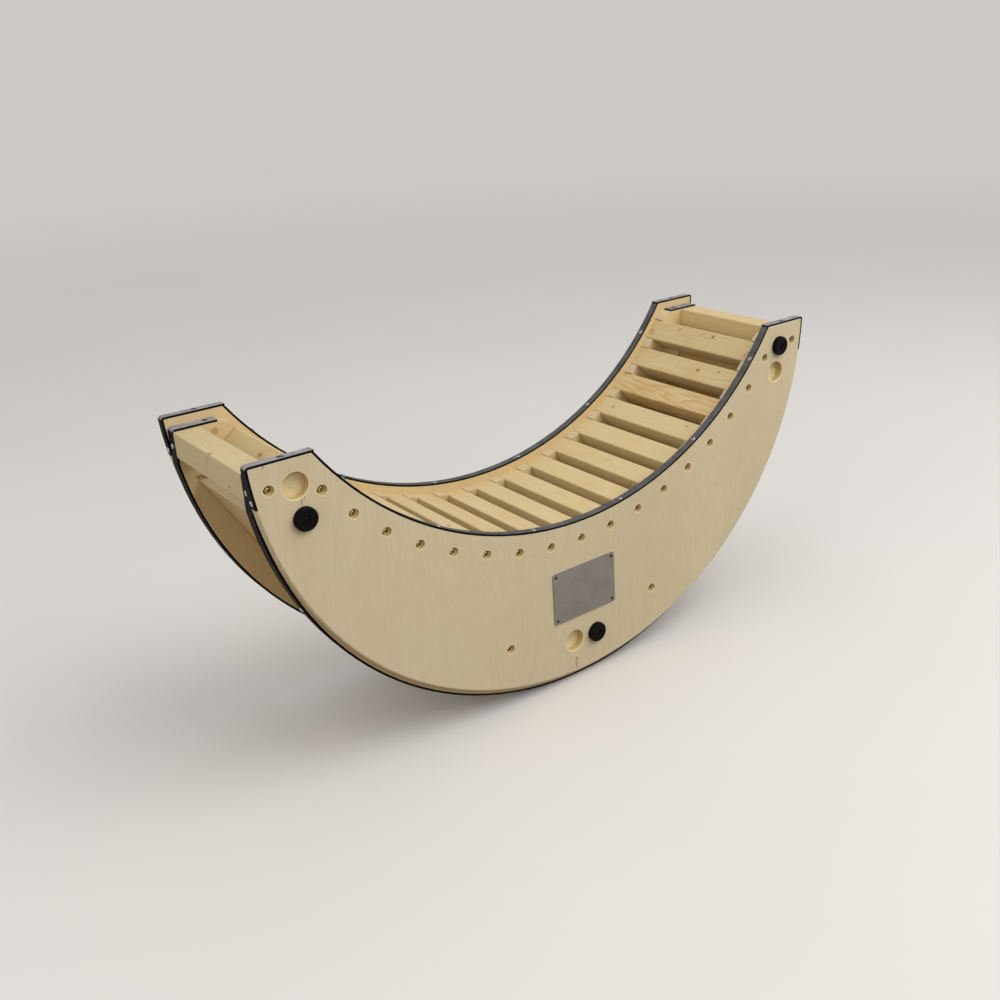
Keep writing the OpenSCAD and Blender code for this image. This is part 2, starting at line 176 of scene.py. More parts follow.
# %% [markdown]
# ## Places, masks and mixes
#
# These few helpers are used by every finish below. A place is given in millimetres, because wood
# grain is easier to imagine that way: fibres of half a millimetre, year rings of three. A soft step
# turns a distance into a mask that fades between two limits.

# %% Helpers for the finishes
MM = 0.001


def place(recipe, middle=(0, 0, 0), turn=(0, 0, 0)):
    """The point in millimetres, seen from a turned frame whose middle is given in metres."""
    point = recipe.node("ShaderNodeTexCoord")[3]
    values = {"Vector": point, "Location": middle, "Rotation": turn, "Scale": (MM, MM, MM)}
    return recipe.node("ShaderNodeMapping", {"vector_type": "TEXTURE"}, values)[0]


def parts(recipe, vector):
    """The three numbers of a vector."""
    return recipe.node("ShaderNodeSeparateXYZ", {}, {0: vector})


def joined(recipe, x, y, z):
    """A vector made of three numbers."""
    return recipe.node("ShaderNodeCombineXYZ", {}, {0: x, 1: y, 2: z})[0]


def vector_math(recipe, operation, first, second):
    """Two points or directions put together, which gives a number or another vector."""
    outputs = recipe.node("ShaderNodeVectorMath", {"operation": operation}, {0: first, 1: second})
    return outputs[1 if operation in ("DOT_PRODUCT", "DISTANCE") else 0]


def noise(recipe, vector, scale=1.0, detail=2.0, roughness=0.5, distortion=0.0):
    """Cloudy noise between 0 and 1, with about one blob in each 1 / scale millimetres."""
    values = {"Vector": vector, "Scale": scale, "Detail": detail}
    values.update({"Roughness": roughness, "Distortion": distortion})
    return recipe.node("ShaderNodeTexNoise", {"noise_dimensions": "3D"}, values)[0]


def step(value, low, high):
    """0 below low, 1 above high, and a smooth rise between; low may be the larger one."""
    settings = {"interpolation_type": "SMOOTHSTEP"}
    limits = {0: value, 1: min(low, high), 2: max(low, high)}
    rise = value.recipe.node("ShaderNodeMapRange", settings, limits)[0]
    return 1 - rise if low > high else rise


def blend(recipe, amount, first, second, kind="MIX"):
    """Colour first where amount is 0 and second where it is 1."""
    first, second = (tint if isinstance(tint, Field) else (*tint, 1) for tint in (first, second))
    settings = {"data_type": "RGBA", "blend_type": kind}
    return recipe.node("ShaderNodeMix", settings, {0: amount, 6: first, 7: second})[2]


def bump(recipe, height, depth_mm, strength=1.0):
    """A bumped normal from a height between 0 and 1 that stands for depth_mm."""
    values = {"Height": height, "Strength": strength, "Distance": depth_mm * MM}
    return recipe.node("ShaderNodeBump", {}, values)[0]


def surface(recipe, **sockets):
    """A surface whose sockets are named with _ for each space."""
    names = {key.replace("_", " "): value for key, value in sockets.items()}
    return recipe.node("ShaderNodeBsdfPrincipled", {}, names)[0]


print("helpers ready")

# %% [markdown]
# ## Birch plywood
#
# The panels are cut from birch plywood. Its face is a sheet peeled from a turning log, so it shows
# wide, wispy, pale figures that run along the grain, which stands upright here, with fine fibres
# and short dark flecks. Its cut edges show the plies: every second one is end grain and looks
# darker. The face and the edge are one material, told apart by which way the surface looks.

# %% Plywood
BIRCH_PALE = (0.715, 0.620, 0.420)
BIRCH_DEEP = (0.620, 0.515, 0.330)
BIRCH_LINE = (0.480, 0.355, 0.195)
PLY_LIGHT = (0.700, 0.590, 0.395)
PLY_DARK = (0.560, 0.445, 0.280)
PLY_GRIT = (0.340, 0.240, 0.135)


def fleck(recipe, point, long, wide, share):
    """Small marks along Z, in the given share of their cells."""
    cells = vector_math(recipe, "MULTIPLY", point, (1 / wide, 1 / wide, 1 / long))
    values = {"Vector": cells, "Scale": 1.0, "Randomness": 1.0}
    spots = recipe.node("ShaderNodeTexVoronoi", {"feature": "F1"}, values)
    chance = parts(recipe, spots[1])[0]
    return step(spots[0], 0.30, 0.12) * step(chance, 1 - share, 1 - share + 0.02)


def peeled_face(recipe, point, seed):
    """Colour, height and fibres of a peeled birch sheet whose grain runs along Z."""
    shifted = vector_math(recipe, "ADD", point, (seed * 137.0, 0, seed * 71.0))
    scaled = vector_math(recipe, "MULTIPLY", shifted, (1, 0.2, 0.16))
    figure = noise(recipe, scaled, 0.011, 3.0, 0.55, 0.6)
    wisps = figure * 17.0 % 1.0
    wisp = step(wisps, 0.0, 0.55) * step(wisps, 1.0, 0.72)
    broad = noise(recipe, scaled, 0.006, 2.0)
    fibres = vector_math(recipe, "MULTIPLY", shifted, (1, 0.3, 0.035))
    fibre = noise(recipe, fibres, 0.85, 3.0, 0.65)
    flame = noise(recipe, vector_math(recipe, "MULTIPLY", shifted, (0.4, 0.2, 1)), 0.045, 2.0)
    depth = step(broad, 0.34, 0.68) * 0.32 + wisp * 0.18
    colour = blend(recipe, depth, BIRCH_PALE, BIRCH_DEEP)
    colour = blend(recipe, step(flame, 0.42, 0.66) * 0.16, colour, BIRCH_DEEP)
    colour = blend(recipe, step(fibre, 0.54, 0.78) * 0.15, colour, BIRCH_LINE)
    flecks = fleck(recipe, shifted, 9.0, 2.2, 0.16)
    colour = blend(recipe, flecks * 0.30, colour, BIRCH_LINE)
    return colour, fibre * 0.7 + flecks * -0.3, fibre


def ply_edge(recipe, point, depth, thickness, plies):
    """Colour and grit of a cut edge, where depth runs through the sheet from 0 to thickness."""
    layer = depth / (thickness / plies)
    within = layer % 1.0
    odd = step(layer.math("PINGPONG", layer - 0.5, 1.0), 0.45, 0.55)
    grit = noise(recipe, point, 0.9, 3.0, 0.7)
    glue = step(within, 0.10, 0.0) + step(within, 0.90, 1.0)
    colour = blend(recipe, odd, PLY_LIGHT, PLY_DARK)
    colour = blend(recipe, step(grit, 0.45, 0.80) * 0.20, colour, PLY_GRIT)
    return blend(recipe, glue * 0.40, colour, PLY_GRIT), grit


OUTER_SHEET = {"start": 127.0, "thickness": 12.7, "plies": 9}
INNER_SHEET = {"start": 109.0, "thickness": 18.0, "plies": 13}


def plywood(
    name, seed, start, thickness, plies, thick_axis=(0, 1, 0), turn=(0, 0, 0),
    tint=None, edge=None, marks=None,
):
    """Birch plywood whose sheet lies square to thick_axis, from start millimetres outwards.

    The face takes tint and the cut edge takes edge. The tints given here are painted shade; an edge
    tint is painted shade in a socket and painted light in a counterbore. Marks may draw wear, fresh
    colour, painted shade and painted light on the face.
    """
    recipe = Recipe(name)
    point = place(recipe)
    grain_point = place(recipe, turn=turn)
    reach = vector_math(recipe, "DOT_PRODUCT", point, thick_axis)
    depth = abs(reach) - start
    normal = recipe.node("ShaderNodeNewGeometry")[1]
    facing = vector_math(recipe, "DOT_PRODUCT", normal, thick_axis)
    face = step(abs(facing), 0.55, 0.75)
    face_colour, height, fibre = peeled_face(recipe, grain_point, seed)
    edge_colour, grit = ply_edge(recipe, point, depth, thickness, plies)
    if edge:
        edge_colour = blend(recipe, 1.0, edge_colour, edge, "MULTIPLY")
    if marks:
        face_colour = marks(recipe, point, face_colour)
    if tint:
        face_colour = blend(recipe, 1.0, face_colour, tint, "MULTIPLY")
    colour = blend(recipe, face, edge_colour, face_colour)
    rough = 0.46 + fibre * 0.10 + (1 - face) * 0.18
    grain = bump(recipe, height * face + grit * (1 - face), 0.10, 0.5)
    return recipe.finish(
        surface(recipe, Base_Color=colour, Roughness=rough, Normal=grain, Specular_IOR_Level=0.35)
    )


def finish_of(node, material):
    """Gives a model piece, or one of ours, this finish alone."""
    piece = nodes[node] if isinstance(node, str) else node
    piece.data.materials.clear()
    piece.data.materials.append(material)


# Painted shade: the panels seen from the enclosed inside get a darker, warmer face colour, for the
# shade there and the warm light bounced between the wood.
INSIDE_SHADE_TINT = (0.97, 0.87, 0.70)
plain_panels = ("rear_outer_panel", "front_inner_panel", "rear_inner_panel")
for seed, name in enumerate(plain_panels, 2):
    sheet = OUTER_SHEET if "outer" in name else INNER_SHEET
    finish_of(name, plywood(name.replace("panel", "plywood"), seed, tint=INSIDE_SHADE_TINT, **sheet))
print(len(plain_panels), "panels finished")

# %% [markdown]
# ## Marks on the front panel, and the back boards
#
# A used toy has marks, and they make it believable: a pencil line left from lining up the docking
# socket, a hairline crack from its rim to the bumper, a tail of yellow filler under the lower
# socket, and two small nicks. Each is drawn as a distance from a short line on the face. The back
# boards lean, so their sheet's axis leans too, and a dark line shows where each enters its groove.

# %% Front panel and back boards


def stroke(recipe, point, start, end, width):
    """A mask of 1 within width of the straight line from start to end, both as X and Z in mm."""
    x, _, z = parts(recipe, point)
    run = Vector(end) - Vector(start)
    length = run.length
    ahead = run / length
    along = (x - start[0]) * ahead[0] + (z - start[1]) * ahead[1]
    across = (x - start[0]) * -ahead[1] + (z - start[1]) * ahead[0]
    wobble = (noise(recipe, point, 0.5, 1.0) - 0.5) * (width * 1.6)
    within = step(along, -0.5, 0.5) * step(along, length + 0.5, length - 0.5)
    return step(abs(across + wobble), width, width * 0.4) * within


PENCIL_GREY = (0.10, 0.08, 0.07)
FILLER_YELLOW = (0.80, 0.61, 0.25)
FILLER_RUST = (0.50, 0.24, 0.09)
DRAG_GREY = (0.31, 0.26, 0.22)
NICK_BROWN = (0.22, 0.13, 0.06)
GROOVE_DARK = (0.05, 0.03, 0.015)


def front_marks(recipe, point, colour):
    """Draws the front panel's wear on its face colour."""
    pencil = stroke(recipe, point, (-452.2, 472.3), (-451.7, 478.2), 0.5)
    crack = stroke(recipe, point, (-442.1, 436.5), (-441.8, 424.5), 0.8)
    crack_side = stroke(recipe, point, (-436.6, 439.6), (-438.6, 434.0), 0.65)
    filler = stroke(recipe, point, (-20.3, 53.5), (-19.5, 39.0), 4.4)
    spill = stroke(recipe, point, (-19.4, 39.0), (-19.6, 34.0), 3.0)
    drag = stroke(recipe, point, (-21.1, 34.5), (-20.2, 20.0), 2.2)
    nick = stroke(recipe, point, (-485.4, 492.0), (-485.0, 487.2), 1.1)
    small_nick = stroke(recipe, point, (-425.6, 491.8), (-426.0, 487.5), 0.8)
    colour = blend(recipe, drag * 0.75, colour, DRAG_GREY)
    colour = blend(recipe, filler * 0.85, colour, FILLER_YELLOW)
    colour = blend(recipe, spill * 0.9, colour, FILLER_RUST)
    colour = blend(recipe, (pencil * 0.8 + crack + crack_side) * 0.9, colour, PENCIL_GREY)
    return blend(recipe, (nick + small_nick * 0.7) * 0.85, colour, NICK_BROWN)


finish_of("front_outer_panel", plywood("front_outer_plywood", 1, marks=front_marks, **OUTER_SHEET))
BOARD_LEAN = math.radians(30.3)


def groove_shadow(recipe, point, colour):
    """The dark gap where a board enters its groove."""
    gap = step(abs(parts(recipe, point)[1]), 106.9, 107.9)
    return blend(recipe, gap * 0.9, colour, GROOVE_DARK)


BOARD_X, BOARD_Z, BOARD_THICKNESS = 500.8, 441.5, 12.0
# Painted shade: the back boards face outwards and down, away from the light, so their faces are
# darkened and warmed; their cut edges keep the plain ply colour.
BOARD_SHADE_TINT = (0.84, 0.67, 0.41)
board_outside = BOARD_X * math.cos(BOARD_LEAN) - BOARD_Z * math.sin(BOARD_LEAN)
for side, name in ((-1, "left_back_board"), (1, "right_back_board")):
    leaning = {
        "thick_axis": (side * math.cos(BOARD_LEAN), 0, -math.sin(BOARD_LEAN)),
        "turn": (0, side * BOARD_LEAN, 0),
        "start": board_outside - BOARD_THICKNESS,
        "thickness": BOARD_THICKNESS,
        "plies": 7,
    }
    look = {"tint": BOARD_SHADE_TINT, "marks": groove_shadow, **leaning}
    finish_of(name, plywood(name.replace("board", "plywood"), 5 + side, **look))
print("front panel and back boards finished")

# %% [markdown]
# ## Sawn and sanded lumber
#
# Each slat is a square stick sawn from a young spruce, so its four faces cut through the year
# rings. The rings are circles round the middle of the tree, which lies somewhere beside the stick.
# The distance from that middle line, bent a little along the way, makes the lines on the top face
# straight, curved or flame shaped, as on real wood. A knot pushes the rings aside.

# %% Lumber
WOOD_PALE = (0.655, 0.530, 0.292)
WOOD_WARM = (0.610, 0.458, 0.208)
RING_TAN = (0.520, 0.330, 0.130)
KNOT_BROWN = (0.230, 0.105, 0.042)
KNOT_HALO = (0.520, 0.290, 0.100)
SMUDGE_GREY = (0.140, 0.120, 0.100)


def from_line(recipe, point, start, end):
    """Distance in millimetres from a line between two points inside the stick."""
    run = Vector(end) - Vector(start)
    away = vector_math(recipe, "SUBTRACT", point, start)
    share = vector_math(recipe, "DOT_PRODUCT", away, tuple(run / run.length_squared))
    share = share.math("MAXIMUM", share.math("MINIMUM", share, 1.0), 0.0)
    scaled = {0: tuple(run), 3: share}
    foot = recipe.node("ShaderNodeVectorMath", {"operation": "SCALE"}, scaled)[0]
    return vector_math(recipe, "DISTANCE", away, foot)


def knotted(recipe, point, stick, rings, knots):
    """Pushes the rings aside round each knot, and gives the masks of the cores and the halos."""
    u, v, w = stick
    core = halo = None
    for knot_u, knot_v, size, *deep in knots:
        off_u, off_v = u - knot_u, (v - knot_v) * 0.8
        off = off_u * off_u + off_v * off_v
        if deep:
            off = off + (w - deep[0]) * (w - deep[0])
        off = off**0.5 + (noise(recipe, point, 0.35, 2.0) - 0.5) * size * 0.5
        rings = rings + 1.7 * size * step(off, size * 4.2, 0.0)
        dark = step(off, size * 1.15, size * 0.8)
        glow = step(off, size * 3.2, size * 0.8)
        core = dark if core is None else core.math("MAXIMUM", core, dark)
        halo = glow if halo is None else halo.math("MAXIMUM", halo, glow)
    return rings, core, halo


def stained(recipe, point, stick, colour, smudges, streaks):
    """Draws dirty fingerprints, and streaks of resin that lie along lines in the stick."""
    u, v, w = stick
    for mark_u, mark_v, size in smudges:
        off_u, off_v = u - mark_u, v - mark_v
        off = (off_u * off_u + off_v * off_v) ** 0.5
        patches = noise(recipe, joined(recipe, u * 0.16, v * 0.45, w * 0.16), 1.0, 2.0)
        smudge = step(off, size, size * 0.3) * step(patches, 0.44, 0.62)
        colour = blend(recipe, smudge * 0.8, colour, SMUDGE_GREY)
    for start, end, width, stain in streaks:
        ragged = (noise(recipe, point, 0.12, 2.0) - 0.5) * width
        off = from_line(recipe, point, start, end) + ragged
        colour = blend(recipe, step(off, width, width * 0.2) * 0.6, colour, stain)
    return colour


def lumber(
    name, middle, angle, seed, ring=3.4, heart=(9.0, -60.0), taper=0.02, ring_colour=None,
    figure=0.30, warm=0.4, knots=(), smudges=(), streaks=(), tint=None,
):
    """Sanded spruce along Y. Middle is the centre of its top face, which is turned by angle.

    On the stick u runs across the top face, v along it and w up from it, in millimetres. The rings
    are ring wide, and heart is the middle of the tree as u and w.
    """
    recipe = Recipe(name)
    point = place(recipe, middle, (0, -angle, 0))
    stick = u, v, w = parts(recipe, point)
    drift_u = noise(recipe, joined(recipe, u * 0.05 + seed * 7.3, v * 0.006, w * 0.05), 1.0, 2.0)
    drift_w = noise(recipe, joined(recipe, v * 0.005, u * 0.04 + seed * 3.1, w * 0.04), 1.0, 2.0)
    a = u - heart[0] + (drift_u - 0.5) * 22.0
    b = w - heart[1] + (drift_w - 0.5) * 26.0 + v * taper
    rings, core, halo = knotted(recipe, point, stick, (a * a + b * b) ** 0.5, knots)
    waver = noise(recipe, joined(recipe, u * 0.3, v * 0.012, w * 0.3), 1.0, 2.0) - 0.5
    year = (rings / ring + waver * 0.35) % 1.0
    late = step(year, 0.15, 0.88) * step(year, 1.0, 0.92)
    fibre = noise(recipe, joined(recipe, u * 1.1, v * 0.035, w * 1.1), 1.0, 3.0, 0.65)
    cloud = noise(recipe, joined(recipe, u * 0.03, v * 0.010 + seed, w * 0.03), 1.0, 2.0)
    colour = blend(recipe, step(cloud, 0.3, 0.7) * warm, WOOD_PALE, WOOD_WARM)
    colour = blend(recipe, late * figure, colour, ring_colour or RING_TAN)
    colour = blend(recipe, step(fibre, 0.5, 0.8) * 0.22, colour, RING_TAN)
    if knots:
        colour = blend(recipe, halo * 0.35, colour, KNOT_HALO)
        colour = blend(recipe, core * 0.88, colour, KNOT_BROWN)
    colour = stained(recipe, point, stick, colour, smudges, streaks)
    if tint:
        colour = blend(recipe, 1.0, colour, tint, "MULTIPLY")
    rough = 0.44 + fibre * 0.14
    grain = bump(recipe, fibre * 0.6 + late * 0.4, 0.12, 0.45)
    return recipe.finish(
        surface(recipe, Base_Color=colour, Roughness=rough, Normal=grain, Specular_IOR_Level=0.35)
    )


print("lumber ready")

# %% [markdown]
# ## Seventeen slats, none the same
#
# The slats lie round a circle whose middle is far above the seat. Each takes its own number, which
# sets where the middle of the tree was and how strong its rings are. A few slats are told apart in
# the photograph by a knot, a smudge or a strong figure, and these are given one by one.

# %% Slats
SEAT_RADIUS = 0.5126866
SEAT_MIDDLE_Z = 0.7671866
SLAT_TURN = math.radians(6.44271)
SLAT_SPECIAL = {
    1: {"knots": ((-17, 4, 3.4, -18),)},
    3: {"knots": ((6, 60, 3.0),)},
    6: {"knots": ((-7, -45, 2.6),)},
    13: {"figure": 0.16},
    14: {"figure": 0.16, "knots": ((0, 92, 1.8), (8, -88, 1.4))},
    15: {
        "figure": 0.60, "ring_colour": (0.56, 0.29, 0.08), "heart": (2.0, -23.0), "taper": 0.055,
        "ring": 4.6, "warm": 0.9,
    },
    16: {"knots": ((2, -30, 2.6), (8, -76, 1.6)), "figure": 0.30},
    17: {
        "knots": ((10, 57, 1.6), (10, -25, 2.4)), "smudges": ((-6, 119, 10), (-8, -114, 10)),
        "heart": (26.0, -40.0),
    },
}
MIDDLE_SLAT, SLATS = 9, 17


def on_circle(radius, middle_z, angle):
    """X and Z of the place on an upright circle, at an angle from its lowest place."""
    return radius * math.sin(angle), middle_z - radius * math.cos(angle)


def slat_pose(number):
    """Middle of the slat's top face, and the turn of that face about Y."""
    angle = (number - MIDDLE_SLAT) * SLAT_TURN
    x, z = on_circle(SEAT_RADIUS, SEAT_MIDDLE_Z, angle)
    return (x, 0, z), angle


chance = random.Random(17)
for number in range(1, SLATS + 1):
    middle, angle = slat_pose(number)
    look = {
        "ring": chance.uniform(2.6, 4.4),
        "heart": (chance.uniform(-30, 30), chance.choice((-1, 1)) * chance.uniform(45, 90) - 18),
        "taper": chance.uniform(-0.03, 0.03),
        "figure": chance.uniform(0.12, 0.28),
        "warm": chance.uniform(0.15, 0.65),
    }
    look.update(SLAT_SPECIAL.get(number, {}))
    slat = f"slat_{number:02d}"
    finish_of(slat, lumber(f"{slat}_spruce", middle, angle, number, **look))
print(SLATS, "slats, turned by up to", round(math.degrees(8 * SLAT_TURN), 1), "degrees")

# %% [markdown]
# ## Beams, braces and plugs
#
# The two end beams are what a hand lifts the arch by, and the two braces below stiffen the panels.
# They are the same lumber. The left beam has a reddish resin streak below its outer edge. The
# round plugs in the inner panels are turned from the same wood, a little darker.

# %% Beams and braces
LEFT_BEAM = {
    "tint": (0.92, 0.94, 1.0),
    "heart": (16, -52),
    "figure": 0.26,
    "knots": ((-19, -65, 2.0, -29), (-19, -110, 1.8, -19), (-17, -9, 2.0, 0)),
    "streaks": (
        ((-16, -11, 0), (-19, -1, -14), 5.0, (0.52, 0.31, 0.17)),
        ((-19, -1, -14), (-19, 6, -26), 4.5, (0.58, 0.41, 0.23)),
    ),
}
RIGHT_BEAM = {"heart": (-40, 30), "figure": 0.22, "warm": 0.6}
BEAM_X, BEAM_TOP_Z = 0.4818, 0.4765
BRACE_X, BRACE_TOP_Z = 0.1445, 0.1215
PLUG_Z = 0.464
for side, name, look in ((-1, "left_end", LEFT_BEAM), (1, "right_end", RIGHT_BEAM)):
    beam_top = (side * BEAM_X, 0, BEAM_TOP_Z)
    finish_of(name + "_beam", lumber(name + "_spruce", beam_top, 0, 21 + side, **look))
for side, name in ((-1, "left_lower"), (1, "right_lower")):
    brace_top = (side * BRACE_X, 0, BRACE_TOP_Z)
    finish_of(name + "_brace", lumber(name + "_spruce", brace_top, 0, 25 + side))
finish_of("panel_plugs", lumber("plug_spruce", (0, 0, PLUG_Z), 0, 31, tint=(0.80, 0.70, 0.62)))
print("beams, braces and plugs finished")

# %% [markdown]
# ## Rubber edge strips
#
# The strips are black rubber belting, cut to width and screwed down. Where the skin lies level it
# is painted grey: partly the dust and scuffs it has picked up there, partly painted sheen from the
# light above. Upright stretches and the cut sides stay deep black. Dust and light both come from
# above, so the mask is the upward part of the surface's normal.

# %% Rubber
CLEAN_RUBBER = (0.009, 0.008, 0.008)
CUT_RUBBER = (0.006, 0.006, 0.006)


def strip_rubber(name, dust_and_sheen):
    """Strip rubber whose level skin is as pale as dust_and_sheen says: dust and painted sheen."""
    recipe = Recipe(name)
    point = place(recipe)
    _, sideways, upwards = parts(recipe, recipe.node("ShaderNodeNewGeometry")[1])
    cut = step(abs(sideways), 0.6, 0.8)
    # Level skin: real dust, and painted sheen from the light above.
    lying = step(upwards, 0.05, 0.60)
    dust = noise(recipe, point, 0.045, 3.0, 0.6)
    x, y, z = parts(recipe, point)
    lines = noise(recipe, joined(recipe, x * 0.05, y * 1.4, z * 0.05), 1.0, 3.0, 0.7)
    # Greys of the level skin, for dust and painted sheen.
    thin_dust_and_sheen = (dust_and_sheen * 0.7,) * 3
    thick_dust_and_sheen = (dust_and_sheen * 1.15, dust_and_sheen * 1.1, dust_and_sheen * 1.12)
    scuffed = (dust_and_sheen * 2.2, dust_and_sheen * 2.1, dust_and_sheen * 2.1)
    skin = blend(recipe, step(dust, 0.3, 0.72), thin_dust_and_sheen, thick_dust_and_sheen)
    skin = blend(recipe, step(lines, 0.58, 0.74) * 0.5, skin, scuffed)
    skin = blend(recipe, lying, CLEAN_RUBBER, skin)
    colour = blend(recipe, cut, skin, CUT_RUBBER)
    rough = 0.50 + dust * 0.16 + cut * 0.15
    grain = bump(recipe, noise(recipe, point, 1.6, 2.0, 0.6), 0.15, 0.5)
    return recipe.finish(
        surface(recipe, Base_Color=colour, Roughness=rough, Normal=grain, Specular_IOR_Level=0.04)
    )


# The level ends are paler: more dust and more painted sheen.
edge_rubber = strip_rubber("edge_rubber", 0.115)
end_rubber = strip_rubber("end_rubber", 0.31)
strips = [name for name in nodes if name.endswith("_strip")]
for name in strips:
    finish_of(name, edge_rubber if "arc" in name else end_rubber)
print(len(strips), "strips finished")

# %% [markdown]
# ## Metals
#
# The long screws are plated with yellow zinc, and the short ones are bright steel. Both have fine
# marks from the driver and a soft shine; on the zinc the pale spots are also painted glints and the
# very deep ones painted dark reflections. A black finish is painted shade in recesses. The plate is
# brushed metal: thin scratches along its width stretch every highlight. They are made from noise
# that is squeezed in one direction.

# %% Metals


def plated(name, pale, deep, rough):
    """Plated metal spotted pale and deep: wear, and on the zinc painted glints and reflections."""
    recipe = Recipe(name)
    point = place(recipe)
    # On the zinc these spots are also painted glints and painted dark reflections.
    wear = noise(recipe, point, 0.7, 3.0, 0.6)
    colour = blend(recipe, step(wear, 0.4, 0.7), pale, deep)
    rough = rough + wear * 0.14
    dents = bump(recipe, wear, 0.05, 0.3)
    return recipe.finish(
        surface(recipe, Base_Color=colour, Metallic=1.0, Roughness=rough, Normal=dents)
    )


PLATE_PALE = (0.290, 0.272, 0.252)
PLATE_DULL = (0.195, 0.180, 0.165)


def brushed_plate(name):
    """Bare metal brushed along X."""
    recipe = Recipe(name)
    point = place(recipe)
    x, y, z = parts(recipe, point)
    hairs = noise(recipe, joined(recipe, x * 0.02, y, z * 3.2), 1.0, 3.0, 0.7)
    smear = noise(recipe, point, 0.03, 3.0, 0.6)
    dull = step(hairs, 0.35, 0.7) * 0.5 + step(smear, 0.35, 0.7) * 0.4
    colour = blend(recipe, dull, PLATE_PALE, PLATE_DULL)
    rough = 0.30 + hairs * 0.22
    lines = bump(recipe, hairs, 0.03, 0.35)
    return recipe.finish(
        surface(recipe, Base_Color=colour, Metallic=0.9, Roughness=rough, Normal=lines)
    )


# The zinc's pale spots are painted glints and its very deep ones painted dark reflections.
yellow_zinc = plated("yellow_zinc", (0.60, 0.46, 0.16), (0.060, 0.043, 0.013), 0.06)
bright_steel = plated("bright_steel", (0.46, 0.46, 0.47), (0.24, 0.24, 0.25), 0.20)
# A near-black finish that paints shade in screw recesses, round the long screws' head rims and over
# the screws deep in the bumpers.
painted_shade_black = plated("painted_shade_black", (0.020, 0.018, 0.014), (0.008, 0.007, 0.006), 0.45)
finish_of("name_plate", brushed_plate("brushed_plate"))
print("metals ready")

# %% [markdown]
# ## Turning small round pieces
#
# Screw heads, bumpers and the rims of holes are round, and at this size the engineering mesh shows
# its corners. A lathe makes them fine: a profile of rings is turned about an axis. A ring with a
# third value starts a black band of painted shade, as in a screw's recess or round the rim of its
# head, and where that value is true the ring is square. Each piece is then copied to all its places
# in one mesh.

# %% Lathe
FINE = 96


def turned(rings, steps=48):
    """Points, faces and painted-shade flags of rings (radius, height, square) turned about Z,
    closed.
    """
    points, faces, dark = [], [], []
    for radius, height, *square in rings:
        for k in range(steps):
            turn = 2 * math.pi * (k + 0.5) / steps
            across, along = math.cos(turn), math.sin(turn)
            reach = radius / max(abs(across), abs(along)) if any(square) else radius
            points.append(Vector((reach * across, reach * along, height)))
    for ring in range(len(rings) - 1):
        for k in range(steps):
            a, b = ring * steps + k, ring * steps + (k + 1) % steps
            faces.append((a, b, b + steps, a + steps))
            dark.append(len(rings[ring]) > 2)
    faces.append(tuple(range(steps - 1, -1, -1)))
    faces.append(tuple(range(len(points) - steps, len(points))))
    return points, faces, dark + [False, False]


SHARP_CORNER = math.radians(32)


def repeated(name, shape, places, material, body="root"):
    """One mesh that holds the shape at every place, given as (point, axis) in metres."""
    mesh = bpy.data.meshes.new(name)
    points, faces, dark = shape
    every_point, every_face = [], []
    for middle, axis in places:
        turn = Vector((0, 0, 1)).rotation_difference(Vector(axis)).to_matrix()
        first = len(every_point)
        every_point += [Vector(middle) + turn @ (point * MM) for point in points]
        every_face += [tuple(first + k for k in face) for face in faces]
    mesh.from_pydata(every_point, [], every_face)
    mesh.shade_smooth()
    mesh.set_sharp_from_angle(angle=SHARP_CORNER)
    piece = bpy.data.objects.new(name, mesh)
    bpy.context.scene.collection.objects.link(piece)
    finish_of(piece, material)
    # Faces flagged by the lathe take the black of painted shade.
    if any(dark):
        mesh.materials.append(painted_shade_black)
        mesh.polygons.foreach_set("material_index", [int(d) for d in dark] * len(places))
    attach(piece, body)
    print(name, "x", len(places))
    return piece


print("lathe ready")

# %% [markdown]
# ## Places of the long screws and their counterbores
#
# One long screw goes into each end of every slat, beam and brace. The slat screws lie on a circle
# 15 mm outside the seat's. Every place is a point on the panel's face and the way that face looks,
# and the rear face repeats the front one after a half turn.

# %% Long screw places
FACE_Y = 0.1397
COUNTERBORE = 0.0065
SCREW_CIRCLE = SEAT_RADIUS + 0.015
BEAM_SPOT, BRACE_SPOT = (BEAM_X, 0.4575), (BRACE_X, 0.1025)


def both_sides(places):
    """The places, and the same ones turned half round the upright axis."""
    return places + [((-x, -y, z), (-a, -b, c)) for (x, y, z), (a, b, c) in places]


slat_turns = [(number - MIDDLE_SLAT) * SLAT_TURN for number in range(1, SLATS + 1)]
slat_spots = [on_circle(SCREW_CIRCLE, SEAT_MIDDLE_Z, turn) for turn in slat_turns]
frame_spots = [(side * x, z) for side in (-1, 1) for x, z in (BEAM_SPOT, BRACE_SPOT)]


def in_face(spots, depth=0.0):
    """The spots (X, Z) as places in the front face, or that far below it."""
    return [((x, depth - FACE_Y, z), (0, -1, 0)) for x, z in spots]


print(len(slat_spots), "slat screws and", len(frame_spots), "frame screws on each face")

# %% [markdown]
# ## Long screws
#
# A long screw has a domed head with a square recess, and sits on the floor of its counterbore. A
# black band round the rim of its head and the walls of its recess are painted shade. The
# counterbore gets a thin wooden cup with a softly rounded rim, as any cut edge of sanded plywood
# has, and its wall is lightened as painted light. The screws take the place of the model's screws.

